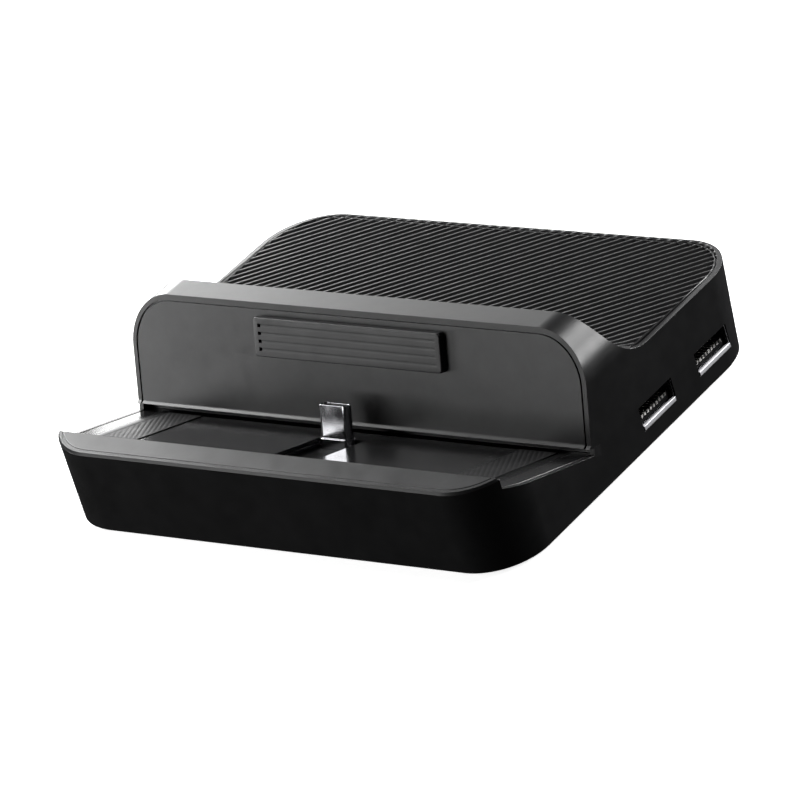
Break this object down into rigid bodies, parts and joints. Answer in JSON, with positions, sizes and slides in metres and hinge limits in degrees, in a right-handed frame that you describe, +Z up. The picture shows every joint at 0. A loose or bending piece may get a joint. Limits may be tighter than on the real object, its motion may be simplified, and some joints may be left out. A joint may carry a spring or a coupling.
{
  "type": "handheld console dock",
  "caption": "Free-standing dock for a handheld console: tilted tray with an upright metal plug, leaning wall with a rubber pad, diagonally ribbed top, side sockets.",
  "frame": {"origin": "centre of the footprint, on the surface that the feet rest on", "axes": "+X to the right seen from the tray's side, +Y from the tray to the rear, +Z up"},
  "size_m": [0.128, 0.1036, 0.0365],
  "materials": {
    "housing_plastic": "fine satin moulding",
    "cradle_plastic": "fine satin moulding",
    "deck_plastic": "ribbed satin moulding",
    "plate_plastic": "smooth",
    "rubber": "matt",
    "bright_metal": "bright drawn sheet",
    "socket_steel": "folded sheet",
    "screw_steel": "plain",
    "contact_metal": "tin plated",
    "liner_plastic": "matt",
    "board": "lacquered laminate",
    "chip": "matt",
    "can_aluminium": "plain",
    "ribbon_film": "film"
  },
  "bodies": {
    "root": {"housing": "housing_plastic", "cradle": "cradle_plastic", "ribbed_deck": "deck_plastic", "bottom_cover": "housing_plastic", "tray_plate": "plate_plastic", "grip_left": "rubber", "grip_right": "rubber", "back_pad": "rubber", "plug_sleeve": "bright_metal", "plug_insert": "liner_plastic", "plug_contacts": "contact_metal", "plug_carrier": "liner_plastic", "plug_board": "board", "ribbon": "ribbon_film", "ribbon_socket": "liner_plastic", "main_board": "board", "converter_chip": "chip", "hub_chip": "chip", "power_chip": "chip", "inductors": "chip", "crystal": "can_aluminium", "capacitors": "can_aluminium", "cover_screws": "screw_steel", "foot_front_left": "rubber", "foot_front_right": "rubber", "foot_rear_left": "rubber", "foot_rear_right": "rubber", "side_port_front_shield": "socket_steel", "side_port_front_tongue": "liner_plastic", "side_port_front_contacts": "contact_metal", "side_port_rear_shield": "socket_steel", "side_port_rear_tongue": "liner_plastic", "side_port_rear_contacts": "contact_metal", "video_port_shield": "socket_steel", "video_port_tongue": "liner_plastic", "video_port_contacts": "contact_metal", "power_port_shield": "socket_steel", "power_port_tongue": "liner_plastic", "power_port_contacts": "contact_metal"}
  },
  "joints": []
}
